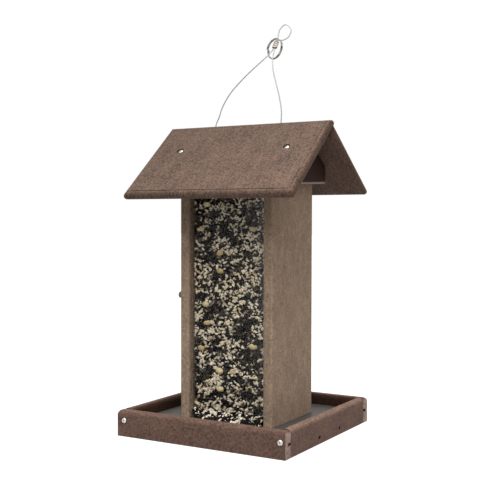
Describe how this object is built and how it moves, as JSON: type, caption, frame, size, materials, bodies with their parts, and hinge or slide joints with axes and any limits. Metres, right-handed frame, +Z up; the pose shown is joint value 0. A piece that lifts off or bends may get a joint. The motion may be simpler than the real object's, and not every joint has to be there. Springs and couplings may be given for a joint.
{
  "type": "bird feeder",
  "caption": "Hopper bird feeder with a gable roof, clear sliding panes, a square seed tray and a steel hanging cable with a crimped loop and a split ring.",
  "frame": {"origin": "middle of the square tray, on the surface that its rails stand on", "axes": "+Z up, X along the ridge, -Y towards the front pane, whose side shows in the picture"},
  "size_m": [0.2306, 0.234, 0.5033],
  "materials": {
    "brown_poly_lumber": "reddish brown recycled board, fine brushed grain, satin",
    "taupe_poly_lumber": "taupe brown recycled board, fine brushed grain, satin",
    "grey_sheet": "smooth grey sheet",
    "clear_polycarbonate": "clear, polished",
    "stainless_steel": "plain stainless",
    "galvanised_cable": "zinc coated strands and crimps"
  },
  "bodies": {
    "base": {"front_rail": "brown_poly_lumber", "back_rail": "brown_poly_lumber", "left_rail": "brown_poly_lumber", "right_rail": "brown_poly_lumber", "tray_floor": "grey_sheet", "base_plank": "brown_poly_lumber", "left_upright": "taupe_poly_lumber", "right_upright": "taupe_poly_lumber", "seed_baffle": "taupe_poly_lumber", "hanger_cable": "galvanised_cable", "left_cable_leg": "galvanised_cable", "right_cable_leg": "galvanised_cable", "left_cable_lug": "galvanised_cable", "right_cable_lug": "galvanised_cable", "cable_sleeve": "galvanised_cable", "tray_screw_front_left": "stainless_steel", "tray_screw_back_left": "stainless_steel", "tray_screw_front_right": "stainless_steel", "tray_screw_back_right": "stainless_steel", "plank_screw_front_left": "stainless_steel", "plank_screw_back_left": "stainless_steel", "plank_screw_front_right": "stainless_steel", "plank_screw_back_right": "stainless_steel", "upright_screw_front_left": "stainless_steel", "upright_screw_back_left": "stainless_steel", "upright_screw_front_right": "stainless_steel", "upright_screw_back_right": "stainless_steel", "baffle_screw_left": "stainless_steel", "baffle_screw_right": "stainless_steel", "lug_screw_left": "stainless_steel", "lug_screw_right": "stainless_steel"},
    "roof": {"roof_board_front": "brown_poly_lumber", "roof_board_back": "brown_poly_lumber", "gable_block_left": "brown_poly_lumber", "gable_block_right": "brown_poly_lumber", "roof_screw_front_left": "stainless_steel", "roof_screw_back_left": "stainless_steel", "roof_screw_front_right": "stainless_steel", "roof_screw_back_right": "stainless_steel"},
    "front_pane": {"front_pane": "clear_polycarbonate"},
    "back_pane": {"back_pane": "clear_polycarbonate"},
    "front_pane_screw": {"front_pane_screw": "stainless_steel"},
    "back_pane_screw": {"back_pane_screw": "stainless_steel"},
    "ring": {"split_ring": "stainless_steel"}
  },
  "joints": [
    {"name": "roof_lift", "type": "slide", "parent": "base", "child": "roof", "axis": [0, 0, 1], "range_m": [0, 0.062], "deforming": ["hanger_cable", "left_cable_leg", "right_cable_leg"]},
    {"name": "front_pane_slide", "type": "slide", "parent": "base", "child": "front_pane", "axis": [0, 0, 1], "range_m": [0, 0.01]},
    {"name": "back_pane_slide", "type": "slide", "parent": "base", "child": "back_pane", "axis": [0, 0, 1], "range_m": [0, 0.01]},
    {"name": "front_pane_screw_turn", "type": "hinge", "parent": "base", "child": "front_pane_screw", "pos_m": [-0.0646, -0.0457, 0.168], "axis": [1, 0, 0], "range_deg": [-180, 0]},
    {"name": "back_pane_screw_turn", "type": "hinge", "parent": "base", "child": "back_pane_screw", "pos_m": [-0.0646, 0.0457, 0.168], "axis": [1, 0, 0], "range_deg": [-180, 0]},
    {"name": "ring_slide", "type": "slide", "parent": "base", "child": "ring", "axis": [0.1986, 0.3658, 0.9093], "range_m": [0, 0.006]}
  ]
}
